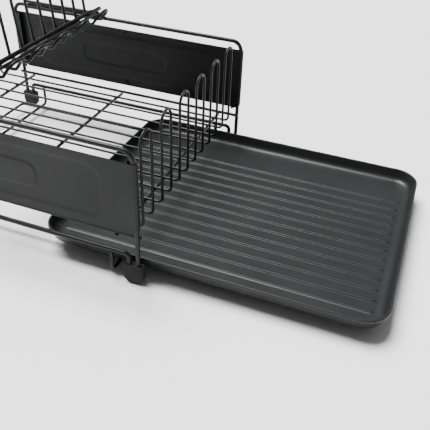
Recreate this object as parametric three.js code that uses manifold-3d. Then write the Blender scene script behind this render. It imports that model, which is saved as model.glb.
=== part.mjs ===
// A two-level wire dish drying rack with a sliding drip tray.
// Millimetres, +Z up. X runs along the rack and is the way the tray slides, Y runs from front to rear.
// The origin is on the table, under the middle of everything as it stands with the tray pulled out.
import * as THREE from "three";
import { mergeVertices } from "three/addons/utils/BufferGeometryUtils.js";
import Module from "manifold-3d";

const wasm = await Module();
wasm.setup();

// ---------- driving dimensions ----------
const WELD_GAP = 0.3; // pieces that are welded or clipped together stay this far apart

const FRAME_LENGTH = 370; // between the upright rods, along X
const FRAME_DEPTH = 325; // between the front and rear side frames, along Y
const ROD = 5.4; // rod of the side frames
const HANDLE_HEIGHT = 171; // middle of the top rod
const HANDLE_BEND = 13; // bend radius at the ends of the top rod
const RUNNER_HEIGHT = 39; // middle of the low rod between the feet
const RUNNER_BEND = 6;
const FOOT_LOOP = 11; // from an upright to the leg that comes back up to the runner
const FOOT_LOOP_HEIGHT = 5; // middle of the rod at the bottom of the foot loop

const CAP_WIDTH = 24; // rubber foot caps
const CAP_HEIGHT = 26;
const CAP_THICKNESS = 9.6;
const CAP_FLAT = 6; // the flat that the round bottom stands on

const PANEL_SHEET = 0.9; // side panels, folded round the uprights
const PANEL_TOP = 158;
const PANEL_BOTTOM = 70;
const PANEL_LIP = 9; // return of the fold behind the upright
const PANEL_CORNER = 9; // cut at the lower corners
const FIELD_LENGTH = 300; // shallow field pressed inwards into each panel
const FIELD_HEIGHT = 69;
const FIELD_CORNER = 20;
const FIELD_DEPTH = 0.6;
const TAB_WIDTH = 8;
const TAB_HEIGHT = 6;
const TAB_DEPTH = 2.4;
const TAB_INSET = 1.5; // from the panel's edge to the tab

const RAIL = 4.2; // base rails
const BASE_HEIGHT = 62; // middle of the base wires
const CROSS_WIRE = 4.2;
const CROSS_INSET = 20; // first cross wire, from the left uprights
const CROSS_PITCH = 161;

const PLATE_WIRE = 3.2;
const WIRE_PITCH = 25; // between neighbouring long wires
const PLATE_LOOPS = 6;
const PLATE_LOOP_HEIGHT = 113.5; // divider arches above the base wires
const PLATE_LOOP_INSET = 5; // dividers, from the right uprights
const STOP_OVERHANG = 27; // left end of the base wires past the left uprights
const STOP_HEIGHT = 22; // low arches at the left end
const WIRE_BEND = 6;

const HANGER_WIRE = 4.2; // cross wires that carry the tray
const HANGER_INSET = 33; // from the uprights
const HANGER_HEIGHT = 9; // middle of the hanger's bottom run
const GUIDE_WIRE = 4; // long loop that the tray slides on
const GUIDE_SPREAD = 276; // between the loop's two runs
const GUIDE_INSET = 5; // closed left end, from the left uprights

const TRAY_LENGTH = 406;
const TRAY_HEIGHT = 17;
const TRAY_SIDE_CLEARANCE = 1.5;
const TRAY_LIFT = 0.4; // from the guide loop to the tray's underside
const TRAY_LEFT_AT_REST = 51; // the tray stands pulled out to the right
const TRAY_WALL = 3;
const TRAY_FLOOR = 2;
const TRAY_DRAFT = 5.5; // how far the wall comes in from rim to floor
const TRAY_CORNER = 30;
const RIB_COUNT = 13;
const RIB_PITCH = 18.1;
const RIB_OFFSET = -16; // the flat margin is wider at the rear
const RIB_WIDTH = 4;
const RIB_HEIGHT = 1.6;
const RIB_END_INSET = 16; // rib ends, from the tray's outer edge

const UPPER_WIRE = 4;
const UPPER_LOOPS = 6;
const UPPER_ROD = 6;
const UPPER_SECOND_ROD = 4.4;
const UPPER_FLOOR_HEIGHT = 179; // middle of the short floor wires
const UPPER_BACK_X = -44; // tall arches
const UPPER_BACK_HEIGHT = 79; // above the floor wires
const UPPER_BACK_LEAN = 8; // the tall arches lean back this far at their tops
const UPPER_FLOOR_LENGTH = 26;
const FINGER_REACH = 13; // the fingers lean out this far
const FINGER_HEIGHT = 17;
const UPPER_SECOND_INSET = 15; // second rod, from the tall arches
const FOOT_LOOP_WIDTH = 10; // flat loops that rest on the handles
const FOOT_LOOP_LEFT = -170;
const FOOT_LOOP_RIGHT = -27;
const FOOT_ROD = 5;
const FOOT_LOOP_DROP = 4; // the loop's inner run is lower than the run on the handle
const FOOT_LOOP_RETURN = 12; // from the holder's left end to the end of the inner run
const ROD_OVERHANG = 7; // the thick rod reaches past the handles

// ---------- finishes ----------
const powderCoat = { color: 0x2a2c2e, roughness: 0.42, metalness: 0.25 };
const panelCoat = { color: 0x3b3c3e, roughness: 0.55, metalness: 0.2 };
const rubber = { color: 0x3a3b3c, roughness: 0.85, metalness: 0 };
const trayPlastic = { color: 0x3a3c3d, roughness: 0.5, metalness: 0 };

// ---------- helpers ----------
const WIRE_SIDES = 8; // flats round a wire
const BEND_STEPS = 3; // steps in a quarter bend of a wire
const ROD_BEND_STEPS = 4; // the side frames' rod is bent in finer steps
const OUTLINE_STEPS = 6; // steps in a quarter of a rounded outline
const MOUTH_STEPS = 10; // steps in the caps' round mouths
const SHORTEST_STEP = 0.01; // vertices of a wire nearer than this are one vertex
const SAME_VERTEX = 1e-4; // vertices of a solid nearer than this are one vertex
const CUT_PAST = 1; // a cut reaches this far past the face that it opens
const SUNK = 0.5; // a joined block starts this far inside the one that it joins
const MOST_OF_HALF = 0.499; // of a short run may be taken up by the bend at its end
const rack = new THREE.Group();
const v = (x, y, z) => new THREE.Vector3(x, y, z);

function addPiece(parent, name, geometry, finish) {
  const mesh = new THREE.Mesh(geometry, new THREE.MeshStandardMaterial(finish));
  mesh.name = name;
  parent.add(mesh);
  return mesh;
}

// A wire's centre line: straight runs with round bends, one vertex at each end of every straight run.
// The bend radius is one number, or a list with one number for each inner corner.
class BentWire extends THREE.Curve {
  constructor(corners, radius, bendSteps) {
    super();
    this.vertices = [corners[0]];
    for (let i = 1; i < corners.length - 1; i++) {
      const corner = corners[i];
      const back = corners[i - 1].clone().sub(corner);
      const ahead = corners[i + 1].clone().sub(corner);
      const half = back.angleTo(ahead) / 2;
      const wanted = Array.isArray(radius) ? radius[i - 1] : radius;
      const longest = MOST_OF_HALF * Math.min(back.length(), ahead.length());
      const trim = Math.min(wanted / Math.tan(half), longest);
      const bend = trim * Math.tan(half);
      back.normalize();
      ahead.normalize();
      const middle = back.clone().add(ahead).normalize();
      const centre = corner.clone().addScaledVector(middle, bend / Math.sin(half));
      const start = corner.clone().addScaledVector(back, trim).sub(centre);
      const sweep = Math.PI - 2 * half;
      const axis = back.clone().cross(start).normalize();
      const steps = Math.max(2, Math.ceil((bendSteps * sweep) / (Math.PI / 2)));
      for (let k = 0; k <= steps; k++)
        this.vertices.push(
          start.clone().applyAxisAngle(axis, (sweep * k) / steps).add(centre),
        );
    }
    this.vertices.push(corners[corners.length - 1]);
    this.vertices = this.vertices.filter(
      (p, i, all) => i === 0 || p.distanceTo(all[i - 1]) > SHORTEST_STEP,
    );
  }
  get steps() {
    return this.vertices.length - 1;
  }
  getPointAt(u) {
    return this.vertices[Math.round(u * this.steps)].clone();
  }
  getSpacedPoints() {
    return this.vertices.map((p) => p.clone());
  }
  getTangentAt(u) {
    const i = Math.round(u * this.steps);
    const before = this.vertices[Math.max(i - 1, 0)];
    const here = this.vertices[i];
    const after = this.vertices[Math.min(i + 1, this.steps)];
    const tangent = new THREE.Vector3();
    if (i > 0) tangent.add(here.clone().sub(before).normalize());
    if (i < this.steps) tangent.add(after.clone().sub(here).normalize());
    return tangent.normalize();
  }
}

// A round wire of a diameter along corners, as one closed solid.
function wire(corners, diameter, radius, bendSteps = BEND_STEPS) {
  const section = new THREE.Shape();
  for (let i = 0; i < WIRE_SIDES; i++) {
    const a = (i * 2 * Math.PI) / WIRE_SIDES;
    const x = (diameter / 2) * Math.cos(a);
    const y = (diameter / 2) * Math.sin(a);
    if (i === 0) section.moveTo(x, y);
    else section.lineTo(x, y);
  }
  section.closePath();
  const path = new BentWire(corners, radius, bendSteps);
  return new THREE.ExtrudeGeometry(section, { steps: path.steps, extrudePath: path });
}

function solid(geometry) {
  const bare = geometry.index ? geometry.toNonIndexed() : geometry.clone();
  bare.deleteAttribute("normal");
  bare.deleteAttribute("uv");
  const merged = mergeVertices(bare, SAME_VERTEX);
  return new wasm.Manifold(
    new wasm.Mesh({
      numProp: 3,
      vertProperties: merged.attributes.position.array,
      triVerts: new Uint32Array(merged.index.array),
    }),
  );
}

function geometryOf(body) {
  const mesh = body.getMesh();
  const geometry = new THREE.BufferGeometry();
  geometry.setAttribute("position", new THREE.BufferAttribute(mesh.vertProperties, 3));
  geometry.setIndex(new THREE.BufferAttribute(mesh.triVerts, 1));
  const flat = geometry.toNonIndexed();
  flat.computeVertexNormals();
  return flat;
}

function box(x0, x1, y0, y1, z0, z1) {
  const geometry = new THREE.BoxGeometry(x1 - x0, y1 - y0, z1 - z0);
  return geometry.translate((x0 + x1) / 2, (y0 + y1) / 2, (z0 + z1) / 2);
}

function roundedRectangle(length, width, radius) {
  const shape = new THREE.Shape();
  const [x, y] = [length / 2, width / 2];
  shape.absarc(x - radius, y - radius, radius, 0, Math.PI / 2);
  shape.absarc(-x + radius, y - radius, radius, Math.PI / 2, Math.PI);
  shape.absarc(-x + radius, -y + radius, radius, Math.PI, 1.5 * Math.PI);
  shape.absarc(x - radius, -y + radius, radius, 1.5 * Math.PI, 2 * Math.PI);
  shape.closePath();
  return shape;
}

// ---------- the side frames: one rod bent into handle, uprights, foot loops and runner ----------
const endX = FRAME_LENGTH / 2;
const sideY = FRAME_DEPTH / 2;
const innerLegX = endX - FOOT_LOOP;
const sides = [
  { name: "front", sign: -1 },
  { name: "rear", sign: 1 },
];

function sideFrame(sign) {
  const y = sign * sideY;
  const joinX = WELD_GAP / 2; // the rod's ends are butt-welded in the middle of the runner
  const corners = [
    v(joinX, y, RUNNER_HEIGHT),
    v(innerLegX, y, RUNNER_HEIGHT),
    v(innerLegX, y, FOOT_LOOP_HEIGHT),
    v(endX, y, FOOT_LOOP_HEIGHT),
    v(endX, y, HANDLE_HEIGHT),
    v(-endX, y, HANDLE_HEIGHT),
    v(-endX, y, FOOT_LOOP_HEIGHT),
    v(-innerLegX, y, FOOT_LOOP_HEIGHT),
    v(-innerLegX, y, RUNNER_HEIGHT),
    v(-joinX, y, RUNNER_HEIGHT),
  ];
  const ends = [RUNNER_BEND, FOOT_LOOP / 2, FOOT_LOOP / 2, HANDLE_BEND];
  const bends = [...ends, ...ends.slice().reverse()];
  return wire(corners, ROD, bends, ROD_BEND_STEPS);
}

// ---------- rubber caps: a D with its flat side up, open where the rod goes in ----------
function footCap(xSign, sign) {
  const outline = new THREE.Shape();
  const r = CAP_WIDTH / 2;
  outline.moveTo(-r, CAP_HEIGHT);
  const centreZ = Math.sqrt(r * r - (CAP_FLAT * CAP_FLAT) / 4);
  const flatAngle = Math.asin(CAP_FLAT / 2 / r);
  outline.lineTo(-r, centreZ);
  outline.absarc(0, centreZ, r, Math.PI, 1.5 * Math.PI - flatAngle);
  outline.absarc(0, centreZ, r, 1.5 * Math.PI + flatAngle, 2 * Math.PI);
  outline.lineTo(r, CAP_HEIGHT);
  outline.closePath();
  const cap = new THREE.ExtrudeGeometry(outline, {
    depth: CAP_THICKNESS,
    bevelEnabled: false,
    curveSegments: OUTLINE_STEPS,
  });
  cap.translate(0, 0, -CAP_THICKNESS / 2).rotateX(Math.PI / 2);
  const middleX = xSign * (endX + innerLegX) / 2;
  cap.translate(middleX, sign * sideY, 0);
  const slotHalf = (FOOT_LOOP + ROD) / 2 + WELD_GAP;
  const slotFloor = FOOT_LOOP_HEIGHT - ROD / 2 - WELD_GAP;
  const mouth = new THREE.Shape();
  mouth.moveTo(-slotHalf, CAP_HEIGHT + CUT_PAST);
  mouth.lineTo(-slotHalf, slotFloor + slotHalf);
  mouth.absarc(0, slotFloor + slotHalf, slotHalf, Math.PI, 2 * Math.PI);
  mouth.lineTo(slotHalf, CAP_HEIGHT + CUT_PAST);
  mouth.closePath();
  const slotWidth = ROD + 2 * WELD_GAP;
  const slot = new THREE.ExtrudeGeometry(mouth, {
    depth: slotWidth,
    bevelEnabled: false,
    curveSegments: MOUTH_STEPS,
  });
  slot.translate(0, 0, -slotWidth / 2).rotateX(Math.PI / 2);
  slot.translate(middleX, sign * sideY, 0);
  return geometryOf(solid(cap).subtract(solid(slot)));
}

// ---------- side panels: a sheet whose two ends fold round the uprights ----------
function sidePanel(sign) {
  const near = ROD / 2 + WELD_GAP; // inner face of the fold, from the upright's middle
  const far = near + PANEL_SHEET;
  const lipX = endX - PANEL_LIP;
  const section = new THREE.Shape();
  const points = [
    [-endX - far, -near - PANEL_SHEET],
    [-lipX, -near - PANEL_SHEET],
    [-lipX, -near],
    [-endX - near, -near],
    [-endX - near, near],
    [endX + near, near],
    [endX + near, -near],
    [lipX, -near],
    [lipX, -near - PANEL_SHEET],
    [endX + far, -near - PANEL_SHEET],
    [endX + far, far],
    [-endX - far, far],
  ];
  points.forEach(([x, y], i) => (i ? section.lineTo(x, y) : section.moveTo(x, y)));
  section.closePath();
  const sheet = new THREE.ExtrudeGeometry(section, {
    depth: PANEL_TOP - PANEL_BOTTOM,
    bevelEnabled: false,
  });
  sheet.translate(0, 0, PANEL_BOTTOM);
  let panel = solid(sheet);
  const corner = new THREE.Shape();
  corner.moveTo(endX + far + CUT_PAST, PANEL_BOTTOM - CUT_PAST);
  corner.lineTo(endX + far + CUT_PAST, PANEL_BOTTOM + PANEL_CORNER);
  corner.lineTo(endX + far - PANEL_CORNER / 2, PANEL_BOTTOM - CUT_PAST);
  corner.closePath();
  const depth = 4 * far; // twice the fold's depth, so that it passes right through
  for (const side of [1, -1]) {
    const cut = new THREE.ExtrudeGeometry(corner, { depth, bevelEnabled: false });
    cut.translate(0, 0, -depth / 2).rotateX(Math.PI / 2);
    if (side < 0) cut.rotateZ(Math.PI);
    panel = panel.subtract(solid(cut));
  }
  const field = new THREE.ExtrudeGeometry(
    roundedRectangle(FIELD_LENGTH, FIELD_HEIGHT, FIELD_CORNER),
    { depth: PANEL_SHEET, bevelEnabled: false, curveSegments: OUTLINE_STEPS },
  );
  field.rotateX(Math.PI / 2).translate(0, 0, (PANEL_TOP + PANEL_BOTTOM) / 2);
  const pressedIn = solid(field.clone().translate(0, far - FIELD_DEPTH, 0));
  const hollow = solid(field.clone().translate(0, far + PANEL_SHEET - FIELD_DEPTH, 0));
  panel = panel.add(pressedIn).subtract(hollow);
  const geometry = geometryOf(panel);
  if (sign < 0) geometry.rotateZ(Math.PI);
  return geometry.translate(0, sign * sideY, 0);
}

// A small tab spot-welded to the inner face of a panel, at the middle of its top or bottom edge.
function panelTab(sign, atTop) {
  const face = sideY + ROD / 2 + WELD_GAP; // inner face of the sheet, round its pressed field
  const z0 = atTop ? PANEL_TOP - TAB_INSET - TAB_HEIGHT : PANEL_BOTTOM + TAB_INSET;
  const outer = sign * (face - WELD_GAP);
  const inner = sign * (face - WELD_GAP - TAB_DEPTH);
  const [y0, y1] = outer < inner ? [outer, inner] : [inner, outer];
  return box(-TAB_WIDTH / 2, TAB_WIDTH / 2, y0, y1, z0, z0 + TAB_HEIGHT);
}

for (const { name, sign } of sides) {
  addPiece(rack, name + "_side_frame", sideFrame(sign), powderCoat);
  addPiece(rack, name + "_side_panel", sidePanel(sign), panelCoat);
  addPiece(rack, name + "_panel_top_tab", panelTab(sign, true), panelCoat);
  addPiece(rack, name + "_panel_bottom_tab", panelTab(sign, false), panelCoat);
  addPiece(rack, name + "_left_foot_cap", footCap(-1, sign), rubber);
  addPiece(rack, name + "_right_foot_cap", footCap(1, sign), rubber);
}

// ---------- base grid: two rails, three cross wires and six long looped wires ----------
const railY = sideY - ROD / 2 - WELD_GAP - RAIL / 2;
const railOverhang = ROD / 2; // the rails reach across the uprights
for (const { name, sign } of sides)
  addPiece(
    rack,
    name + "_base_rail",
    wire(
      [
        v(-endX - railOverhang, sign * railY, BASE_HEIGHT),
        v(endX + railOverhang, sign * railY, BASE_HEIGHT),
      ],
      RAIL,
      0,
    ),
    powderCoat,
  );

const crossZ = BASE_HEIGHT - RAIL / 2 - WELD_GAP - CROSS_WIRE / 2;
["left", "middle", "right"].forEach((name, i) => {
  const x = -endX + CROSS_INSET + i * CROSS_PITCH;
  const end = railY + RAIL / 2;
  addPiece(
    rack,
    name + "_cross_wire",
    wire([v(x, -end, crossZ), v(x, end, crossZ)], CROSS_WIRE, 0),
    powderCoat,
  );
});

// One closed loop: a tall divider arch at the right end, a low stop arch at the left end.
const plateZ = crossZ + CROSS_WIRE / 2 + WELD_GAP + PLATE_WIRE / 2;
function plateWire(middleY) {
  const right = endX - PLATE_LOOP_INSET;
  const left = -endX - STOP_OVERHANG;
  const near = middleY - WIRE_PITCH / 2;
  const far = middleY + WIRE_PITCH / 2;
  const joinX = WELD_GAP / 2;
  const top = plateZ + PLATE_LOOP_HEIGHT;
  const stop = plateZ + STOP_HEIGHT;
  const corners = [
    v(joinX, near, plateZ),
    v(right, near, plateZ),
    v(right, near, top),
    v(right, far, top),
    v(right, far, plateZ),
    v(left, far, plateZ),
    v(left, far, stop),
    v(left, near, stop),
    v(left, near, plateZ),
    v(-joinX, near, plateZ),
  ];
  const arch = WIRE_PITCH / 2;
  const bends = [WIRE_BEND, arch, arch, WIRE_BEND, WIRE_BEND, arch, arch, WIRE_BEND];
  return wire(corners, PLATE_WIRE, bends);
}
for (let i = 0; i < PLATE_LOOPS; i++) {
  const middleY = (i - (PLATE_LOOPS - 1) / 2) * 2 * WIRE_PITCH;
  addPiece(rack, "plate_wire_" + (i + 1), plateWire(middleY), powderCoat);
}

// ---------- tray carriers: two hangers below the runners and a long guide loop on them ----------
const hangerTop = RUNNER_HEIGHT - ROD / 2 - WELD_GAP;
for (const [name, x] of [
  ["left", -endX + HANGER_INSET],
  ["right", endX - HANGER_INSET],
]) {
  addPiece(
    rack,
    name + "_tray_hanger",
    wire(
      [
        v(x, -sideY, hangerTop),
        v(x, -sideY, HANGER_HEIGHT),
        v(x, sideY, HANGER_HEIGHT),
        v(x, sideY, hangerTop),
      ],
      HANGER_WIRE,
      WIRE_BEND,
    ),
    powderCoat,
  );
}
const guideZ = HANGER_HEIGHT + HANGER_WIRE / 2 + WELD_GAP + GUIDE_WIRE / 2;
const guideRight = endX - HANGER_INSET + HANGER_WIRE;
const guideLeft = -endX + GUIDE_INSET;
addPiece(
  rack,
  "tray_guide_loop",
  wire(
    [
      v(guideRight, -GUIDE_SPREAD / 2, guideZ),
      v(guideLeft, -GUIDE_SPREAD / 2, guideZ),
      v(guideLeft, GUIDE_SPREAD / 2, guideZ),
      v(guideRight, GUIDE_SPREAD / 2, guideZ),
    ],
    GUIDE_WIRE,
    WIRE_BEND,
  ),
  powderCoat,
);

// ---------- drip tray: a moulded tray with a drafted wall and lengthwise ribs ----------
const trayWidth = 2 * (sideY - CAP_THICKNESS / 2 - TRAY_SIDE_CLEARANCE);
const trayZ = guideZ + GUIDE_WIRE / 2 + TRAY_LIFT;

// A rounded block that widens by the draft from its bottom to its top.
function draftedBlock(length, width, corner, height) {
  const shape = roundedRectangle(length, width, corner);
  const block = new THREE.ExtrudeGeometry(shape, {
    depth: SUNK,
    bevelThickness: height,
    bevelSize: TRAY_DRAFT,
    bevelOffset: -TRAY_DRAFT,
    bevelSegments: BEND_STEPS,
    curveSegments: OUTLINE_STEPS,
  });
  const cutter = box(-length, length, -width, width, 0, 3 * height);
  return solid(block).subtract(solid(cutter)).translate(0, 0, height);
}

function dripTray() {
  const inner = TRAY_HEIGHT - TRAY_FLOOR;
  const inside = 2 * TRAY_WALL;
  const outerBlock = draftedBlock(TRAY_LENGTH, trayWidth, TRAY_CORNER, TRAY_HEIGHT);
  const innerBlock = draftedBlock(
    TRAY_LENGTH - inside,
    trayWidth - inside,
    TRAY_CORNER - TRAY_WALL,
    inner + SUNK,
  ).translate(0, 0, TRAY_FLOOR);
  let tray = outerBlock.subtract(innerBlock);
  const ridge = new THREE.Shape();
  ridge.moveTo(-RIB_WIDTH / 2, TRAY_FLOOR - SUNK);
  ridge.lineTo(RIB_WIDTH / 2, TRAY_FLOOR - SUNK);
  ridge.lineTo(RIB_WIDTH / 4, TRAY_FLOOR + RIB_HEIGHT);
  ridge.lineTo(-RIB_WIDTH / 4, TRAY_FLOOR + RIB_HEIGHT);
  ridge.closePath();
  const ribLength = TRAY_LENGTH - 2 * RIB_END_INSET;
  for (let i = 0; i < RIB_COUNT; i++) {
    const rib = new THREE.ExtrudeGeometry(ridge, { depth: ribLength, bevelEnabled: false });
    rib.rotateX(Math.PI / 2).rotateZ(Math.PI / 2);
    rib.translate(-ribLength / 2, RIB_OFFSET + (i - (RIB_COUNT - 1) / 2) * RIB_PITCH, 0);
    tray = tray.add(solid(rib));
  }
  return geometryOf(tray);
}
const tray = addPiece(rack, "drip_tray", dripTray(), trayPlastic);
tray.position.set(TRAY_LEFT_AT_REST + TRAY_LENGTH / 2, 0, trayZ);

// ---------- upper holder: stands on the two handles and lifts off ----------
const upper = new THREE.Group();
rack.add(upper);
const footZ = HANDLE_HEIGHT + ROD / 2 + WELD_GAP + FOOT_ROD / 2;
const upperTop = UPPER_FLOOR_HEIGHT + UPPER_BACK_HEIGHT;
const topRodX = UPPER_BACK_X - UPPER_BACK_LEAN;
const topRodZ = upperTop + UPPER_WIRE / 2 + WELD_GAP + FOOT_ROD / 2;

// Each end of the holder: a rod that lies on the handle, loops back at its right end, and rises at its
// left end to run across to the top rod.
for (const { name, sign } of sides) {
  const outerY = sign * sideY;
  const innerY = sign * (sideY - FOOT_LOOP_WIDTH);
  const braceEnd = topRodX - FOOT_ROD / 2 - WELD_GAP;
  const innerZ = footZ - FOOT_LOOP_DROP;
  addPiece(
    upper,
    name + "_upper_end_rod",
    wire(
      [
        v(FOOT_LOOP_LEFT + FOOT_LOOP_RETURN, innerY, innerZ),
        v(FOOT_LOOP_RIGHT, innerY, innerZ),
        v(FOOT_LOOP_RIGHT, outerY, footZ),
        v(FOOT_LOOP_LEFT, outerY, footZ),
        v(FOOT_LOOP_LEFT, outerY, topRodZ),
        v(braceEnd, outerY, topRodZ),
      ],
      FOOT_ROD,
      [FOOT_LOOP_WIDTH / 2, FOOT_LOOP_WIDTH / 2, HANDLE_BEND, HANDLE_BEND],
    ),
    powderCoat,
  );
}
const topRodEnd = sideY + FOOT_ROD / 2;
const upperRodEnd = sideY + ROD_OVERHANG;
addPiece(
  upper,
  "upper_top_rod",
  wire([v(topRodX, -topRodEnd, topRodZ), v(topRodX, topRodEnd, topRodZ)], FOOT_ROD, 0),
  powderCoat,
);

// The arches' wires bend round the thick rod, whose ends drop a little onto the end rods.
const upperBend = (UPPER_ROD + UPPER_WIRE) / 2 + WELD_GAP;
const upperRodX = UPPER_BACK_X + upperBend;
const upperRodZ = UPPER_FLOOR_HEIGHT + upperBend;
const upperRodEndZ = footZ + FOOT_ROD / 2 + WELD_GAP + UPPER_ROD / 2;
const loopsHalfWidth = (UPPER_LOOPS - 1 / 2) * WIRE_PITCH + UPPER_WIRE;
addPiece(
  upper,
  "upper_bottom_rod",
  wire(
    [
      v(upperRodX, -upperRodEnd, upperRodEndZ),
      v(upperRodX, -sideY + FOOT_LOOP_WIDTH, upperRodEndZ),
      v(upperRodX, -loopsHalfWidth, upperRodZ),
      v(upperRodX, loopsHalfWidth, upperRodZ),
      v(upperRodX, sideY - FOOT_LOOP_WIDTH, upperRodEndZ),
      v(upperRodX, upperRodEnd, upperRodEndZ),
    ],
    UPPER_ROD,
    HANDLE_BEND,
  ),
  powderCoat,
);
const secondRodX = UPPER_BACK_X + UPPER_SECOND_INSET;
const secondRodZ = UPPER_FLOOR_HEIGHT + (UPPER_WIRE + UPPER_SECOND_ROD) / 2 + WELD_GAP;
addPiece(
  upper,
  "upper_second_rod",
  wire(
    [v(secondRodX, -loopsHalfWidth, secondRodZ), v(secondRodX, loopsHalfWidth, secondRodZ)],
    UPPER_SECOND_ROD,
    0,
  ),
  powderCoat,
);

// One closed loop: a tall arch at the back, a short floor and a low arch of leaning fingers.
function upperWire(middleY) {
  const near = middleY - WIRE_PITCH / 2;
  const far = middleY + WIRE_PITCH / 2;
  const fingerX = UPPER_BACK_X + UPPER_FLOOR_LENGTH;
  const tipX = fingerX + FINGER_REACH;
  const tipZ = UPPER_FLOOR_HEIGHT + FINGER_HEIGHT;
  const z = UPPER_FLOOR_HEIGHT;
  const joinX = (UPPER_BACK_X + fingerX) / 2;
  const corners = [
    v(joinX + WELD_GAP / 2, near, z),
    v(fingerX, near, z),
    v(tipX, near, tipZ),
    v(tipX, far, tipZ),
    v(fingerX, far, z),
    v(UPPER_BACK_X, far, z),
    v(topRodX, far, upperTop),
    v(topRodX, near, upperTop),
    v(UPPER_BACK_X, near, z),
    v(joinX - WELD_GAP / 2, near, z),
  ];
  const arch = WIRE_PITCH / 2;
  const bends = [upperBend, arch, arch, upperBend, upperBend, arch, arch, upperBend];
  return wire(corners, UPPER_WIRE, bends);
}
for (let i = 0; i < UPPER_LOOPS; i++) {
  const middleY = (i - (UPPER_LOOPS - 1) / 2) * 2 * WIRE_PITCH;
  addPiece(upper, "upper_wire_" + (i + 1), upperWire(middleY), powderCoat);
}

// The origin is under the middle of the whole, from the stop arches to the tray's far end.
const leftmost = -endX - STOP_OVERHANG - PLATE_WIRE / 2;
const rightmost = TRAY_LEFT_AT_REST + TRAY_LENGTH;
rack.position.x = -(leftmost + rightmost) / 2;

export default rack;
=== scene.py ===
import math

import bpy
import numpy as np
from mathutils import Matrix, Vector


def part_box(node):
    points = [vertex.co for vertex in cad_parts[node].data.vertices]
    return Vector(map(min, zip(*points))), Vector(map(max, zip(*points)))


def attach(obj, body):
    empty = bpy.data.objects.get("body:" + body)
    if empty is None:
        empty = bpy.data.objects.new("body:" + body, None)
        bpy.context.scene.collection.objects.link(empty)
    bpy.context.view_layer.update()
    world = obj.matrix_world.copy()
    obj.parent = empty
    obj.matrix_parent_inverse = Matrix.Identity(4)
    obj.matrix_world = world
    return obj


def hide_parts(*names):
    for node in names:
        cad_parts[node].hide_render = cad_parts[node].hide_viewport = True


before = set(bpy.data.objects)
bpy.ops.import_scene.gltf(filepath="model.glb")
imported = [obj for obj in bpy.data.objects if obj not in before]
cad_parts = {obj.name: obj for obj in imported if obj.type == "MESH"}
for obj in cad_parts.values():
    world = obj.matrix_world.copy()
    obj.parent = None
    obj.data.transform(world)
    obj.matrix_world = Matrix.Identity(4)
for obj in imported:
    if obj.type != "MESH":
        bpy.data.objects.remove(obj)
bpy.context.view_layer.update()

# ---------- camera, table and light ----------
# A pale table that runs on as far as the eye goes. Most light comes from a broad sun high on the left,
# with a weak window at the left and a sky that is brightest high up behind the rack. The camera stands
# to the right, in front and above.
rod_low, rod_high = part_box("front_side_frame")
rack_middle = (rod_low.x + rod_high.x) / 2

camera_data = bpy.data.cameras.new("camera")
camera_data.sensor_width = 36
camera_data.lens = 50.18
camera = bpy.data.objects.new("camera", camera_data)
camera_right = (0.93373, 0.35588, 0.03864)
camera_up = (-0.24084, 0.54468, 0.80332)
camera_back = (0.26484, -0.75939, 0.59429)
camera_place = (rack_middle + 0.42645, -0.60581, 0.46847)
camera.matrix_world = Matrix(
    [[camera_right[i], camera_up[i], camera_back[i], camera_place[i]] for i in range(3)] + [[0, 0, 0, 1]]
)
bpy.context.scene.collection.objects.link(camera)
bpy.context.scene.camera = camera


def plain_node_material(name):
    """A new node material and its Principled shader."""
    material = bpy.data.materials.new(name)
    material.use_nodes = True
    return material, material.node_tree.nodes["Principled BSDF"]


table_half = 40.0
table_mesh = bpy.data.meshes.new("table_top")
table_mesh.from_pydata(
    [(x * table_half, y * table_half, 0) for x, y in ((-1, -1), (1, -1), (1, 1), (-1, 1))],
    [],
    [(0, 1, 2, 3)],
)
table_top = bpy.data.objects.new("table_top", table_mesh)
bpy.context.scene.collection.objects.link(table_top)
table_paint, table_shader = plain_node_material("white_table")
table_shader.inputs["Base Color"].default_value = (0.9, 0.9, 0.9, 1)
table_shader.inputs["Roughness"].default_value = 0.9
table_shader.inputs["Specular IOR Level"].default_value = 0.1
table_mesh.materials.append(table_paint)


def soft_light(name, place, target, size, power):
    """A square area light at place, turned to face target."""
    data = bpy.data.lights.new(name, "AREA")
    data.shape = "SQUARE"
    data.size = size
    data.energy = power
    light = bpy.data.objects.new(name, data)
    light.location = place
    direction = np.array(target) - np.array(place)
    yaw = math.atan2(direction[0], -direction[1])
    tilt = math.atan2(math.hypot(direction[0], direction[1]), -direction[2])
    light.rotation_euler = (tilt, 0, yaw + math.pi)
    bpy.context.scene.collection.objects.link(light)


soft_light("left_window", (-1.6, 0.9, 2.2), (0.1, 0, 0), 1.8, 15)
overhead_data = bpy.data.lights.new("overhead", "SUN")
overhead_data.energy = 9.0
overhead_data.angle = 0.6
overhead = bpy.data.objects.new("overhead", overhead_data)
overhead.rotation_euler = (-0.10, -0.38, 0)
bpy.context.scene.collection.objects.link(overhead)
sky = bpy.data.worlds.new("soft_sky")
sky.use_nodes = True
sky_nodes, sky_links = sky.node_tree.nodes, sky.node_tree.links
direction = sky_nodes.new("ShaderNodeTexCoord")
slant = sky_nodes.new("ShaderNodeVectorMath")
slant.operation = "DOT_PRODUCT"
slant.inputs[1].default_value = (-0.25, 0.52, 0.82)
glow = sky_nodes.new("ShaderNodeMapRange")
glow.inputs["From Min"].default_value = 0.3
glow.inputs["From Max"].default_value = 0.9
glow.inputs["To Min"].default_value = 0.12
glow.inputs["To Max"].default_value = 0.5
sky_links.new(direction.outputs["Generated"], slant.inputs[0])
sky_links.new(slant.outputs["Value"], glow.inputs["Value"])
sky_links.new(glow.outputs["Result"], sky_nodes["Background"].inputs["Strength"])
sky_nodes["Background"].inputs["Color"].default_value = (1, 1, 1, 1)
bpy.context.scene.world = sky

# ---------- side frames ----------
# Each end of the rack's width is one round steel rod, bent cold into handle, uprights, foot loops and
# runner, butt-welded in the middle of the runner, and coated with satin black powder.


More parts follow.
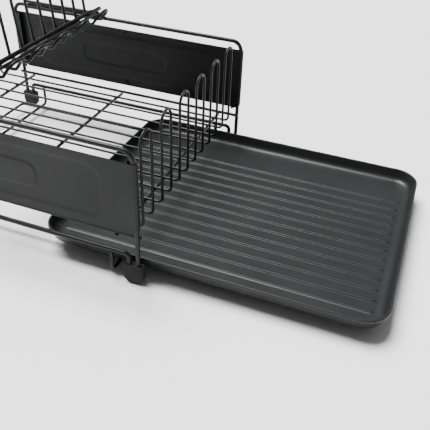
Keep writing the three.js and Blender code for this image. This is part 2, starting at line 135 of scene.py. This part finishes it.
def bent_line(corners, radii, steps=8):
    """A line of straight runs with round bends. Each inner corner is replaced by an arc that touches
    both runs: its centre lies on the corner's half-angle line at radius / sin(half angle)."""
    corners = np.array(corners, float)
    radii = np.broadcast_to(np.array(radii, float), (len(corners) - 2,))
    parts = [corners[:1]]
    for corner, before, after, radius in zip(corners[1:-1], corners[:-2], corners[2:], radii):
        back, ahead = before - corner, after - corner
        short = 0.499 * min(np.linalg.norm(back), np.linalg.norm(ahead))
        back, ahead = back / np.linalg.norm(back), ahead / np.linalg.norm(ahead)
        half = math.acos(np.clip(back @ ahead, -1, 1)) / 2
        trim = min(radius / math.tan(half), short)
        bend = trim * math.tan(half)
        middle = (back + ahead) / np.linalg.norm(back + ahead)
        centre = corner + middle * bend / math.sin(half)
        start = corner + back * trim - centre
        across = -back * bend
        sweep = math.pi - 2 * half
        angle = np.linspace(0, sweep, max(3, int(steps * sweep / (math.pi / 2)) + 1))[:, None]
        parts.append(centre + start * np.cos(angle) + across * np.sin(angle))
    parts.append(corners[-1:])
    line = np.concatenate(parts)
    keep = np.concatenate([[True], np.linalg.norm(np.diff(line, axis=0), axis=1) > 1e-6])
    return line[keep]


def mesh_piece(name, body, points, faces, material, replaced=(), sharp_angle=40):
    """One smooth-shaded mesh from whole arrays of points and faces, riding on a body."""
    mesh = bpy.data.meshes.new(name)
    mesh.from_pydata(np.asarray(points).tolist(), [], faces if isinstance(faces, list) else faces.tolist())
    mesh.materials.append(material)
    mesh.polygons.foreach_set("use_smooth", np.ones(len(mesh.polygons), bool))
    mesh.set_sharp_from_angle(angle=math.radians(sharp_angle))
    mesh.update()
    piece = bpy.data.objects.new(name, mesh)
    bpy.context.scene.collection.objects.link(piece)
    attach(piece, body)
    if replaced:
        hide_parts(*replaced)
    return piece


def grid_faces(rows, columns, wrap=False):
    """The quads of a grid of points stored row by row. With wrap, the last column joins the first."""
    used_columns = columns if wrap else columns - 1
    row, column = np.meshgrid(np.arange(rows - 1), np.arange(used_columns), indexing="ij")
    beside = (column + 1) % columns
    quads = [row * columns + column, row * columns + beside]
    quads += [(row + 1) * columns + beside, (row + 1) * columns + column]
    return np.stack(quads, axis=-1).reshape(-1, 4)


def round_wire(line, radius, sides, closed=False):
    """A circle of the wire's radius carried along a line. Each ring's frame is the last ring's, turned
    as little as possible, and an open wire's ends are domed by two smaller rings. Returns the points and
    the faces."""
    count = len(line)
    ahead = np.roll(line, -1, axis=0) - line
    behind = line - np.roll(line, 1, axis=0)
    unit_ahead = ahead / np.maximum(np.linalg.norm(ahead, axis=1), 1e-12)[:, None]
    unit_behind = behind / np.maximum(np.linalg.norm(behind, axis=1), 1e-12)[:, None]
    tangent = unit_ahead + unit_behind
    if not closed:
        tangent[0], tangent[-1] = unit_ahead[0], unit_behind[-1]
    tangent /= np.linalg.norm(tangent, axis=1)[:, None]
    guess = np.array([0, 0, 1.0]) if abs(tangent[0, 2]) < 0.9 else np.array([0, 1.0, 0])
    side = np.empty_like(line)
    for i in range(count):
        guess = guess - tangent[i] * (guess @ tangent[i])
        guess = guess / np.linalg.norm(guess)
        side[i] = guess
    if closed:
        # the frame's small leftover turn is spread evenly along the loop
        last = side[-1] - tangent[0] * (side[-1] @ tangent[0])
        last /= np.linalg.norm(last)
        leftover = math.atan2(np.cross(last, side[0]) @ tangent[0], last @ side[0])
        turn = np.linspace(0, leftover, count)[:, None]
        side = side * np.cos(turn) + np.cross(tangent, side) * np.sin(turn)
    other = np.cross(tangent, side)
    if not closed:
        dome_share, dome_places, dome_widths = 0.3, [0.0, 0.35], [0.55, 0.88]
        dome = radius * dome_share
        first = [line[0] + tangent[0] * dome * s for s in dome_places + [1.0]]
        final = [line[-1] - tangent[-1] * dome * s for s in [1.0] + dome_places[::-1]]
        scale = np.concatenate([dome_widths, np.ones(count), dome_widths[::-1]])
        line = np.concatenate([first, line[1:-1], final])
        side = np.concatenate([side[:1], side[:1], side, side[-1:], side[-1:]])
        other = np.concatenate([other[:1], other[:1], other, other[-1:], other[-1:]])
    else:
        scale = np.ones(count)
    angle = np.arange(sides) * 2 * math.pi / sides
    ring = side[:, None] * np.cos(angle)[:, None] + other[:, None] * np.sin(angle)[:, None]
    points = line[:, None] + ring * (radius * scale)[:, None, None]
    rows = len(line)
    faces = grid_faces(rows, sides, wrap=True)[:, ::-1].tolist()
    if closed:
        last_row = (rows - 1) * sides
        faces += [[last_row + (k + 1) % sides, last_row + k, k, (k + 1) % sides] for k in range(sides)]
    else:
        faces.append(list(range(sides)))
        faces.append([(rows - 1) * sides + k for k in range(sides)][::-1])
    return points.reshape(-1, 3), faces


wire_sharp_angle = 60
thin_sides, thick_sides, rod_sides = 14, 16, 20


def wire_piece(name, body, corners, radii, radius, replaced, closed=False, sides=thin_sides):
    """A coated wire along corners. A closed wire's corners start and end in the middle of a run."""
    line = bent_line(corners, radii)
    if closed:
        line = line[:-1]
    points, faces = round_wire(line, radius, sides, closed)
    return mesh_piece(name, body, points, faces, black_coat, replaced, wire_sharp_angle)


def group_with(name, inputs, outputs):
    """An empty node group with named number inputs and outputs."""
    group = bpy.data.node_groups.new(name, "ShaderNodeTree")
    for label, default in inputs:
        socket = group.interface.new_socket(label, in_out="INPUT", socket_type="NodeSocketFloat")
        socket.default_value = default
    for label in outputs:
        group.interface.new_socket(label, in_out="OUTPUT", socket_type="NodeSocketFloat")
    return group, group.nodes.new("NodeGroupInput"), group.nodes.new("NodeGroupOutput")


def surface_grain_group():
    """Fine grain, broad cloudiness and rare specks, all from noise on Object coordinates. Grain is the
    height for a bump, Cloud and Speck are masks from 0 to 1."""
    group, given, result = group_with(
        "surface_grain", [("Grain Scale", 1500.0), ("Cloud Scale", 30.0)], ["Grain", "Cloud", "Speck"]
    )
    nodes, links = group.nodes, group.links
    place = nodes.new("ShaderNodeTexCoord")
    fine = nodes.new("ShaderNodeTexNoise")
    fine.inputs["Detail"].default_value = 3
    broad = nodes.new("ShaderNodeTexNoise")
    broad.inputs["Detail"].default_value = 4
    dots = nodes.new("ShaderNodeTexVoronoi")
    dots.inputs["Scale"].default_value = 260
    near_dot = nodes.new("ShaderNodeMapRange")
    near_dot.inputs["From Min"].default_value = 0.1
    near_dot.inputs["From Max"].default_value = 0.04
    for texture in (fine, broad, dots):
        links.new(place.outputs["Object"], texture.inputs["Vector"])
    links.new(given.outputs["Grain Scale"], fine.inputs["Scale"])
    links.new(given.outputs["Cloud Scale"], broad.inputs["Scale"])
    links.new(dots.outputs["Distance"], near_dot.inputs["Value"])
    links.new(fine.outputs["Fac"], result.inputs["Grain"])
    links.new(broad.outputs["Fac"], result.inputs["Cloud"])
    links.new(near_dot.outputs["Result"], result.inputs["Speck"])
    return group


surface_grain = surface_grain_group()


def coated_material(name, dark, light, rough_low, rough_high, grain_scale, bump_depth, cloud_scale=30.0):
    """A finish whose colour and roughness drift between two values with the broad cloud, with pale
    specks of dust and a fine bump."""
    dust_brightness, dust_share = 2.2, 0.25
    material, shader = plain_node_material(name)
    nodes, links = material.node_tree.nodes, material.node_tree.links
    grain = nodes.new("ShaderNodeGroup")
    grain.node_tree = surface_grain
    grain.inputs["Grain Scale"].default_value = grain_scale
    grain.inputs["Cloud Scale"].default_value = cloud_scale
    tint = nodes.new("ShaderNodeMix")
    tint.data_type = "RGBA"
    tint.inputs["A"].default_value = (*dark, 1)
    tint.inputs["B"].default_value = (*light, 1)
    spotted = nodes.new("ShaderNodeMix")
    spotted.data_type = "RGBA"
    spotted.inputs["B"].default_value = tuple(dust_brightness * c for c in light) + (1,)
    faint = nodes.new("ShaderNodeMath")
    faint.operation = "MULTIPLY"
    faint.inputs[1].default_value = dust_share
    rough = nodes.new("ShaderNodeMapRange")
    rough.inputs["From Min"].default_value = 0.3
    rough.inputs["From Max"].default_value = 0.7
    rough.inputs["To Min"].default_value = rough_low
    rough.inputs["To Max"].default_value = rough_high
    bump = nodes.new("ShaderNodeBump")
    bump.inputs["Strength"].default_value = 1.0
    bump.inputs["Distance"].default_value = bump_depth
    shader.inputs["Specular IOR Level"].default_value = 0.22
    links.new(grain.outputs["Cloud"], tint.inputs["Factor"])
    links.new(tint.outputs["Result"], spotted.inputs["A"])
    links.new(grain.outputs["Speck"], faint.inputs[0])
    links.new(faint.outputs["Value"], spotted.inputs["Factor"])
    links.new(spotted.outputs["Result"], shader.inputs["Base Color"])
    links.new(grain.outputs["Cloud"], rough.inputs["Value"])
    links.new(rough.outputs["Result"], shader.inputs["Roughness"])
    links.new(grain.outputs["Grain"], bump.inputs["Height"])
    links.new(bump.outputs["Normal"], shader.inputs["Normal"])
    return material


black_coat = coated_material(
    "black_powder_coat",
    dark=(0.006, 0.0062, 0.0065),
    light=(0.010, 0.0103, 0.0106),
    rough_low=0.30,
    rough_high=0.42,
    grain_scale=1400,
    bump_depth=0.00006,
)

side_names = (("front", -1), ("rear", 1))
rod_radius = (rod_high.y - rod_low.y) / 2
upright_x = (rod_high.x - rod_low.x) / 2 - rod_radius
side_y = abs((rod_low.y + rod_high.y) / 2)
handle_z = rod_high.z - rod_radius
loop_z = rod_low.z + rod_radius
loop_width = 0.011
runner_z = 0.039
handle_bend = 0.013
runner_bend = 0.006
leg_x = upright_x - loop_width

for side_name, sign in side_names:
    middle, y = rack_middle, sign * side_y
    half_loop = [
        (middle, y, runner_z),
        (middle + leg_x, y, runner_z),
        (middle + leg_x, y, loop_z),
        (middle + upright_x, y, loop_z),
        (middle + upright_x, y, handle_z),
    ]
    mirrored = [(2 * middle - px, py, pz) for px, py, pz in reversed(half_loop)]
    bends = [runner_bend, loop_width / 2, loop_width / 2, handle_bend]
    wire_piece(
        side_name + "_rod",
        "rack",
        half_loop + mirrored,
        bends + bends[::-1],
        rod_radius,
        [side_name + "_side_frame"],
        closed=True,
        sides=rod_sides,
    )

# ---------- side panels ----------
# Thin steel sheet, pressed with a shallow rounded field and a smaller raised one in its middle. Its two
# ends are folded round the uprights, its top edge is hemmed inwards, and it is coated matt charcoal.
charcoal_coat = coated_material(
    "charcoal_powder_coat",
    dark=(0.0080, 0.0084, 0.0092),
    light=(0.0104, 0.0108, 0.0118),
    rough_low=0.48,
    rough_high=0.60,
    grain_scale=2600,
    bump_depth=0.00005,
    cloud_scale=14.0,
)
sheet = 0.0009
fold_reach = 0.012
lip_length = 0.009


def smooth_step(t):
    """3 t² - 2 t³, for t held between 0 and 1."""
    t = np.clip(t, 0, 1)
    return t * t * (3 - 2 * t)


def grid_rim(rows, columns):
    """The numbers of the outer points of a grid stored row by row, once round from the first point."""
    total = rows * columns
    return np.concatenate(
        [
            np.arange(columns),
            np.arange(1, rows) * columns + columns - 1,
            total - 2 - np.arange(columns - 1),
            np.arange(rows - 2, 0, -1) * columns,
        ]
    )


def inside_depth(x, z, half_x, half_z, corner):
    """How far (x, z) lies inside a rounded rectangle round (0, 0): positive inside, negative outside."""
    dx = np.abs(x) - half_x + corner
    dz = np.abs(z) - half_z + corner
    outside = np.hypot(np.maximum(dx, 0), np.maximum(dz, 0))
    return corner - outside - np.minimum(np.maximum(dx, dz), 0)


def panel_mesh(low, high):
    """The sheet's middle surface is a line seen from above, carried up in rows. The line runs from one
    fold's lip round the upright, along the face and round the other upright. The face is pressed by
    smooth steps of the depth inside two rounded rectangles, and both skins lie half a sheet off it."""
    half_x = (high.x - low.x) / 2 - sheet / 2
    outer_y = (high.y - low.y) / 2 - sheet / 2
    lip_x = upright_x - lip_length
    fold_bend = 0.0031
    fold_x = half_x - fold_reach
    fold = bent_line(
        [(fold_x, outer_y, 0), (half_x, outer_y, 0), (half_x, -outer_y, 0), (lip_x, -outer_y, 0)],
        fold_bend,
        steps=6,
    )
    face_columns, face_rows = 260, 56
    face_x = np.linspace(-half_x + fold_reach, half_x - fold_reach, face_columns)[1:-1]
    face = np.stack([face_x, np.full_like(face_x, outer_y), np.zeros_like(face_x)], axis=1)
    left_fold = fold[::-1] * (-1, 1, 1)
    line = np.concatenate([left_fold, face, fold])[:, :2]
    along = np.gradient(line, axis=0)
    along /= np.linalg.norm(along, axis=1)[:, None]
    out = np.stack([-along[:, 1], along[:, 0]], axis=1)
    rows = np.linspace(0, 1, face_rows)[:, None]
    corner_cut, corner_run = 0.007, 0.009
    taper = corner_cut * smooth_step((np.abs(line[:, 0]) - half_x + corner_run) / corner_run)
    z = low.z + taper + (high.z - low.z - taper) * rows
    x = np.broadcast_to(line[:, 0], z.shape)
    y = np.broadcast_to(line[:, 1], z.shape)
    field_lift = 0.0005
    from_middle = z - (low.z + high.z) / 2 - field_lift
    on_face = y > outer_y - 1e-5
    field_half, field_corner, field_slope = (0.150, 0.0345), 0.020, 0.0050
    island_half, island_corner, island_slope = (0.070, 0.016), 0.013, 0.0018
    press_depth = 0.0008
    field = smooth_step(inside_depth(x, from_middle, *field_half, field_corner) / field_slope)
    island = smooth_step(inside_depth(x, from_middle, *island_half, island_corner) / island_slope)
    pressed = np.where(on_face, press_depth * island - press_depth * field, 0)
    skins = []
    for offset in (sheet / 2, -sheet / 2):
        skin = np.stack([x + out[:, 0] * offset, y + out[:, 1] * offset + pressed, z], axis=-1)
        skins.append(skin.reshape(-1, 3))
    count_rows, count_line = z.shape
    faces = grid_faces(count_rows, count_line)
    total = count_rows * count_line
    rim = grid_rim(count_rows, count_line)
    around = np.roll(rim, -1)
    edge = np.stack([rim, rim + total, around + total, around], axis=1)
    return np.concatenate(skins), np.concatenate([faces[:, ::-1], faces + total, edge])


def rounded_bar(low, high, corner):
    """A box with its four long edges rounded: a rounded rectangle in Y and Z carried along X, its ends
    drawn in a little. Returns the points and the faces."""
    half_y, half_z = (high[1] - low[1]) / 2, (high[2] - low[2]) / 2
    middle_y, middle_z = (low[1] + high[1]) / 2, (low[2] + high[2]) / 2
    around = 24
    angle = np.linspace(0, 2 * math.pi, around, endpoint=False) + math.pi / around
    y = np.sign(np.cos(angle)) * (half_y - corner) + corner * np.cos(angle)
    z = np.sign(np.sin(angle)) * (half_z - corner) + corner * np.sin(angle)
    stations = [(low[0], 0.75), (low[0] + corner / 2, 0.95), (low[0] + corner, 1.0)]
    stations += [(low[0] + high[0] - s, k) for s, k in reversed(stations)]
    rings = [
        np.stack([np.full_like(y, s), middle_y + y * k, middle_z + z * k], axis=1) for s, k in stations
    ]
    faces = grid_faces(len(stations), around, wrap=True)[:, ::-1].tolist()
    last_ring = (len(stations) - 1) * around
    faces += [list(range(around)), [last_ring + k for k in range(around)][::-1]]
    return np.concatenate(rings), faces


hem_thickness, hem_height, hem_drop, hem_corner = 0.0016, 0.0050, 0.0002, 0.0007
tab_corner = 0.0008
for side_name, sign in side_names:
    low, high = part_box(side_name + "_side_panel")
    points, faces = panel_mesh(low, high)
    centre_y = (low.y + high.y) / 2
    points = points * (sign, sign, 1) + (rack_middle, centre_y, 0)
    mesh_piece(
        side_name + "_panel_sheet",
        "rack",
        points,
        faces[:, ::-1],
        charcoal_coat,
        [side_name + "_side_panel"],
        sharp_angle=35,
    )
    inner_face = sign * ((high.y - low.y) / 2 - sheet) + centre_y
    hem_edges = sorted((inner_face, inner_face - sign * hem_thickness))
    hem_half = upright_x - fold_reach
    points, faces = rounded_bar(
        (rack_middle - hem_half, hem_edges[0], high.z - hem_drop - hem_height),
        (rack_middle + hem_half, hem_edges[1], high.z - hem_drop),
        hem_corner,
    )
    mesh_piece(side_name + "_panel_hem", "rack", points, faces, charcoal_coat)
    for edge_name in ("top", "bottom"):
        node = side_name + "_panel_" + edge_name + "_tab"
        low_tab, high_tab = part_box(node)
        points, faces = rounded_bar(low_tab, high_tab, tab_corner)
        mesh_piece(node + "_cover", "rack", points, faces, charcoal_coat, [node])

# ---------- rubber foot caps ----------
# Moulded rubber cups pushed up over the foot loops, flat on top and round below, with soft edges and a
# fine matt grain.
foot_rubber = coated_material(
    "foot_rubber",
    dark=(0.012, 0.0124, 0.0128),
    light=(0.018, 0.0184, 0.0188),
    rough_low=0.70,
    rough_high=0.88,
    grain_scale=900,
    bump_depth=0.00010,
    cloud_scale=60.0,
)


def foot_cap_mesh(low, high):
    """A D outline, half round below and square above with small round corners, carried through the
    cap's thickness. It shrinks by a quarter circle of the edge radius at both faces."""
    half_x, half_y = (high.x - low.x) / 2, (high.y - low.y) / 2
    edge = 0.0016
    corner = 0.0018
    half_round = half_x * 0.998
    outline = bent_line(
        [
            (0, 0, high.z - low.z),
            (-half_x, 0, high.z - low.z),
            (-half_x, 0, 0),
            (half_x, 0, 0),
            (half_x, 0, high.z - low.z),
            (0, 0, high.z - low.z),
        ],
        [corner, half_round, half_round, corner],
        steps=14,
    )[:-1]
    centre = np.array([0, 0, half_x])
    quarter = np.linspace(0, math.pi / 2, 5)
    shrink = edge * (1 - np.sin(quarter))
    deepen = edge * (1 - np.cos(quarter))
    inset = np.concatenate([shrink, shrink[::-1]])
    depth = np.concatenate([-half_y + deepen, half_y - deepen[::-1]])
    reach = (half_x - inset) / half_x
    rings = centre + (outline - centre) * reach[:, None, None]
    rings = rings + np.stack([0 * depth, depth, 0 * depth], axis=1)[:, None]
    count = len(outline)
    faces = grid_faces(len(depth), count, wrap=True).tolist()
    faces += [list(range(count))[::-1], [(len(depth) - 1) * count + k for k in range(count)]]
    points = rings.reshape(-1, 3)
    return points + ((low.x + high.x) / 2, (low.y + high.y) / 2, low.z), faces


for side_name, sign in side_names:
    for end_name in ("left", "right"):
        node = side_name + "_" + end_name + "_foot_cap"
        points, faces = foot_cap_mesh(*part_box(node))
        mesh_piece(node + "_moulding", "rack", points, faces, foot_rubber, [node], sharp_angle=50)

# ---------- base grid ----------
# Two rails and three cross wires carry six long closed loops of thinner wire. Each loop stands up as a
# plate arch at the right end and as a low stop arch at the left. All crossings are spot-welded.


def straight_wire(name, body, node, axis):
    """A straight wire that fills its node's box along an axis, 0 for X and 1 for Y."""
    low, high = (np.array(corner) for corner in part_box(node))
    middle, radius = (low + high) / 2, (high[2] - low[2]) / 2
    start, end = middle.copy(), middle.copy()
    start[axis], end[axis] = low[axis], high[axis]
    points, faces = round_wire(np.array([start, end]), radius, thick_sides)
    return mesh_piece(name, body, points, faces, black_coat, [node], wire_sharp_angle)


def weld_beads(name, body, centres, size):
    """Small ellipsoids, one at each centre: each is a grid of latitude and longitude scaled by size."""
    rows, around = 5, 10
    lat = np.linspace(-math.pi / 2, math.pi / 2, rows + 2)[1:-1, None]
    lon = np.arange(around) * 2 * math.pi / around
    height = np.broadcast_to(np.sin(lat), (rows, around))
    rings = np.stack([np.cos(lat) * np.cos(lon), np.cos(lat) * np.sin(lon), height], axis=-1)
    ball = np.concatenate([rings.reshape(-1, 3), [[0, 0, -1]], [[0, 0, 1]]])
    bottom, top = rows * around, rows * around + 1
    last_ring = (rows - 1) * around
    one = grid_faces(rows, around, wrap=True).tolist()
    one += [[bottom, (k + 1) % around, k] for k in range(around)]
    one += [[top, last_ring + k, last_ring + (k + 1) % around] for k in range(around)]
    centres = np.array(centres, float)
    points = (centres[:, None] + ball * size).reshape(-1, 3)
    faces = [[v + i * len(ball) for v in face] for i in range(len(centres)) for face in one]
    return mesh_piece(name, body, points, faces, black_coat)


for side_name, sign in side_names:
    straight_wire(side_name + "_rail", "rack", side_name + "_base_rail", 0)
cross_x = []
for place_name in ("left", "middle", "right"):
    node = place_name + "_cross_wire"
    straight_wire(node + "_round", "rack", node, 1)
    low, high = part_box(node)
    cross_x.append((low.x + high.x) / 2)
    cross_z = high.z

arch_bend = 0.0125
toe_bend = 0.006
stop_rise = 0.022
wire_pitch = 2 * arch_bend
plate_y = []
for i in range(6):
    node = f"plate_wire_{i + 1}"
    low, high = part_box(node)
    radius = (high.y - low.y - wire_pitch) / 2
    near, far = low.y + radius, high.y - radius
    left, right = low.x + radius, high.x - radius
    floor, top = low.z + radius, high.z - radius
    plate_y += [near, far]
    wire_piece(
        f"plate_loop_{i + 1}",
        "rack",
        [
            (rack_middle, near, floor),
            (right, near, floor),
            (right, near, top),
            (right, far, top),
            (right, far, floor),
            (left, far, floor),
            (left, far, floor + stop_rise),
            (left, near, floor + stop_rise),
            (left, near, floor),
            (rack_middle, near, floor),
        ],
        [toe_bend, arch_bend, arch_bend, toe_bend, toe_bend, arch_bend, arch_bend, toe_bend],
        radius,
        [node],
        closed=True,
    )
base_bead = (0.0024, 0.0021, 0.0008)
weld_beads("base_welds", "rack", [(x, y, cross_z) for x in cross_x for y in plate_y], base_bead)
rail_low, rail_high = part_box("rear_base_rail")
rail_z = (rail_low.z + rail_high.z) / 2
rail_weld_y = rail_low.y + 0.0032
rail_bead = (0.0024, 0.0012, 0.0022)
weld_beads(
    "rail_welds",
    "rack",
    [
        (rack_middle + end * upright_x, sign * rail_weld_y, rail_z)
        for end in (-1, 1)
        for _, sign in side_names
    ],
    rail_bead,
)

# ---------- tray carriers ----------
# Two hangers of thick wire drop from the runners and cross under the rack. A long loop of the same wire
# lies on them lengthwise and is what the tray slides on.
hanger_bend = 0.006
hanger_bead = (0.0029, 0.0026, 0.0010)
for place_name in ("left", "right"):
    node = place_name + "_tray_hanger"
    low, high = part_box(node)
    radius = (high.x - low.x) / 2
    x = (low.x + high.x) / 2
    wire_piece(
        place_name + "_hanger",
        "rack",
        [
            (x, low.y + radius, high.z),
            (x, low.y + radius, low.z + radius),
            (x, high.y - radius, low.z + radius),
            (x, high.y - radius, high.z),
        ],
        hanger_bend,
        radius,
        [node],
        sides=thick_sides,
    )
    hanger_tops = [(x, low.y + radius, high.z), (x, high.y - radius, high.z)]
    weld_beads(place_name + "_hanger_welds", "rack", hanger_tops, hanger_bead)
low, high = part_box("tray_guide_loop")
radius = (high.z - low.z) / 2
guide_z = (high.z + low.z) / 2
wire_piece(
    "guide_loop",
    "rack",
    [
        (high.x, low.y + radius, guide_z),
        (low.x + radius, low.y + radius, guide_z),
        (low.x + radius, high.y - radius, guide_z),
        (high.x, high.y - radius, guide_z),
    ],
    hanger_bend,
    radius,
    ["tray_guide_loop"],
    sides=thick_sides,
)

# ---------- drip tray ----------
# One moulding of dark plastic: a ribbed floor, a wide round fillet up to a drafted wall and a rounded
# lip. The ribs run lengthwise and fade out before the walls.
tray_plastic = coated_material(
    "tray_plastic",
    dark=(0.0112, 0.0116, 0.0120),
    light=(0.0150, 0.0154, 0.0158),
    rough_low=0.33,
    rough_high=0.41,
    grain_scale=2200,
    bump_depth=0.00004,
    cloud_scale=22.0,
)


def tray_mesh(low, high):
    """The floor is a grid whose rows are as long as the rounded outline is at their Y. The same outline,
    pushed out by a profile of reach and height, makes fillet, wall, lip and underside, and a second
    plain grid closes the bottom. Ribs are smooth bumps in Y that fade at both ends in X."""
    centre = ((low.x + high.x) / 2, (low.y + high.y) / 2)
    height = high.z - low.z
    corner = 0.030
    floor_top = 0.0020
    profile = bent_line(
        [
            (-0.0225, 0, floor_top),
            (-0.0080, 0, floor_top),
            (-0.0028, 0, height),
            (0, 0, height),
            (0, 0, height - 0.0034),
            (-0.0012, 0, height - 0.0038),
            (-0.0058, 0, 0),
            (-0.0165, 0, 0),
        ],
        [0.0100, 0.0011, 0.0012, 0.0006, 0.0006, 0.0030],
        steps=6,
    )
    floor_inset = 0.0165
    floor_corner = corner - floor_inset
    half_x = (high.x - low.x) / 2 - corner
    half_y = (high.y - low.y) / 2 - corner
    rib_pitch, rib_count, rib_middle = 0.0181, 13, -0.016
    rib_rise, rib_half, rib_slope, rib_fade = 0.0015, 0.0028, 0.0022, 0.0035
    rib_y = rib_middle + (np.arange(rib_count) - (rib_count - 1) / 2) * rib_pitch
    side_steps = np.array([0.0004, 0.0008, 0.0012, 0.0016, 0.0020, 0.0024, 0.0028, 0.0036])
    across = np.concatenate([-side_steps[::-1], [0], side_steps])
    straight = np.concatenate([(rib_y[:, None] + across).ravel(), rib_y[:-1] + rib_pitch / 2])
    straight = np.concatenate([straight, [-half_y], np.linspace(rib_y[-1] + 0.006, half_y, 5)])
    straight = np.unique(straight[straight >= -half_y])
    corner_steps = 16
    quarter = np.linspace(0, math.pi / 2, corner_steps + 1)
    row_start = np.concatenate([np.full(corner_steps, -half_y), straight, np.full(corner_steps, half_y)])
    normal_x = np.concatenate([np.sin(quarter[:-1]), np.ones_like(straight), np.cos(quarter[1:])])
    normal_y = np.concatenate([-np.cos(quarter[:-1]), 0 * straight, np.sin(quarter[1:])])
    rib_end = half_x + floor_corner - 0.0005
    inner = np.array([0.0, 0.0012, 0.0022, 0.0032, 0.0045, 0.008, 0.014, 0.022])
    middle_share, middle_steps = 0.85, 8
    run = np.concatenate([1 - inner / half_x, np.linspace(middle_share, 0, middle_steps)])
    run = np.unique(np.concatenate([run, -run]))
    row_y = row_start + floor_corner * normal_y
    widths = half_x + floor_corner * normal_x
    grid_x = widths[:, None] * run
    grid_y = np.broadcast_to(row_y[:, None], grid_x.shape)
    nearest = np.abs(grid_y[..., None] - rib_y).min(axis=-1)
    bump = smooth_step((rib_half - nearest) / rib_slope)
    fade = smooth_step((rib_end - np.abs(grid_x)) / rib_fade)
    grid_z = floor_top + rib_rise * bump * fade
    top = np.stack([grid_x, grid_y, grid_z], axis=-1).reshape(-1, 3)
    bottom = np.stack([grid_x, grid_y, 0 * grid_x], axis=-1).reshape(-1, 3)
    count_rows, count_run = grid_x.shape
    total = count_rows * count_run
    rim = grid_rim(count_rows, count_run)
    row, column = rim // count_run, rim % count_run
    right = (column == count_run - 1).astype(float) - (column == 0)
    out = np.stack([normal_x[row] * right, normal_y[row]], axis=1)
    on_long_edge = right == 0
    out[on_long_edge] = np.stack([0 * row, np.sign(normal_y[row])], axis=1)[on_long_edge]
    rings = []
    for push, z in profile[1:-1, (0, 2)]:
        xy = top[rim, :2] + out * (push + floor_inset)
        rings.append(np.concatenate([xy, np.full((len(rim), 1), z)], axis=1))
    count = len(rim)
    ring_ids = 2 * total + np.arange(len(rings) * count).reshape(len(rings), count)
    ids = np.concatenate([[rim], ring_ids, [rim + total]])
    beside = np.roll(ids, -1, axis=1)
    bands = np.stack([ids[:-1], beside[:-1], beside[1:], ids[1:]], axis=-1).reshape(-1, 4)
    plate = grid_faces(count_rows, count_run)
    faces = np.concatenate([plate, plate[:, ::-1] + total, bands[:, ::-1]])
    points = np.concatenate([top, bottom, *rings])
    return points + (*centre, low.z), faces


points, faces = tray_mesh(*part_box("drip_tray"))
mesh_piece(
    "ribbed_tray", "tray", points, faces, tray_plastic, ["drip_tray"], sharp_angle=50
)

# ---------- upper holder ----------
# A second level that only stands on the two handles. Its tall arches and short leaning fingers are one
# looped wire each, welded to a thick rod and a thinner one, with a bent rod at either end.
top_low, top_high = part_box("upper_top_rod")
end_rod_radius = (top_high.z - top_low.z) / 2
loop_bend = 0.005
brace_bend = 0.013
inner_drop = 0.004
inner_end_gap = 0.012
weld_gap = 0.0003
for side_name, sign in side_names:
    node = side_name + "_upper_end_rod"
    low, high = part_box(node)
    outer_y = sign * side_y
    inner_y = outer_y - sign * 2 * loop_bend
    left, right = low.x + end_rod_radius, high.x - end_rod_radius
    inner_z, brace_z = low.z + end_rod_radius, high.z - end_rod_radius
    foot_z = inner_z + inner_drop
    wire_piece(
        side_name + "_end_rod",
        "upper_holder",
        [
            (left + inner_end_gap, inner_y, inner_z),
            (right, inner_y, inner_z),
            (right, outer_y, foot_z),
            (left, outer_y, foot_z),
            (left, outer_y, brace_z),
            (top_low.x - weld_gap, outer_y, brace_z),
        ],
        [loop_bend, loop_bend, brace_bend, brace_bend],
        end_rod_radius,
        [node],
        sides=thick_sides,
    )
straight_wire("top_rod", "upper_holder", "upper_top_rod", 1)
straight_wire("second_rod", "upper_holder", "upper_second_rod", 1)

low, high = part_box("upper_bottom_rod")
thick_radius = (high.x - low.x) / 2
x = (low.x + high.x) / 2
second_low, second_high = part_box("upper_second_rod")
drop_y = side_y - 2 * loop_bend
wire_piece(
    "thick_rod",
    "upper_holder",
    [
        (x, low.y, low.z + thick_radius),
        (x, -drop_y, low.z + thick_radius),
        (x, second_low.y, high.z - thick_radius),
        (x, second_high.y, high.z - thick_radius),
        (x, drop_y, low.z + thick_radius),
        (x, high.y, low.z + thick_radius),
    ],
    brace_bend,
    thick_radius,
    ["upper_bottom_rod"],
    sides=rod_sides,
)

finger_reach = 0.013
finger_rise = 0.017
floor_length = 0.026
upper_y = []
for i in range(6):
    node = f"upper_wire_{i + 1}"
    low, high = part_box(node)
    radius = (high.y - low.y - wire_pitch) / 2
    near, far = low.y + radius, high.y - radius
    upper_y += [near, far]
    lean_x, tip = low.x + radius, high.x - radius
    floor, top = low.z + radius, high.z - radius
    toe = tip - finger_reach
    back = toe - floor_length
    back_bend = thick_radius + weld_gap + radius
    join = (back + toe) / 2
    wire_piece(
        f"upper_loop_{i + 1}",
        "upper_holder",
        [
            (join, near, floor),
            (toe, near, floor),
            (tip, near, floor + finger_rise),
            (tip, far, floor + finger_rise),
            (toe, far, floor),
            (back, far, floor),
            (lean_x, far, top),
            (lean_x, near, top),
            (back, near, floor),
            (join, near, floor),
        ],
        [back_bend, arch_bend, arch_bend, back_bend, back_bend, arch_bend, arch_bend, back_bend],
        radius,
        [node],
        closed=True,
    )
upper_bead = (0.0026, 0.0024, 0.0008)
second_x = (second_low.x + second_high.x) / 2
weld_beads("upper_welds", "upper_holder", [(second_x, y, floor + radius) for y in upper_y], upper_bead)
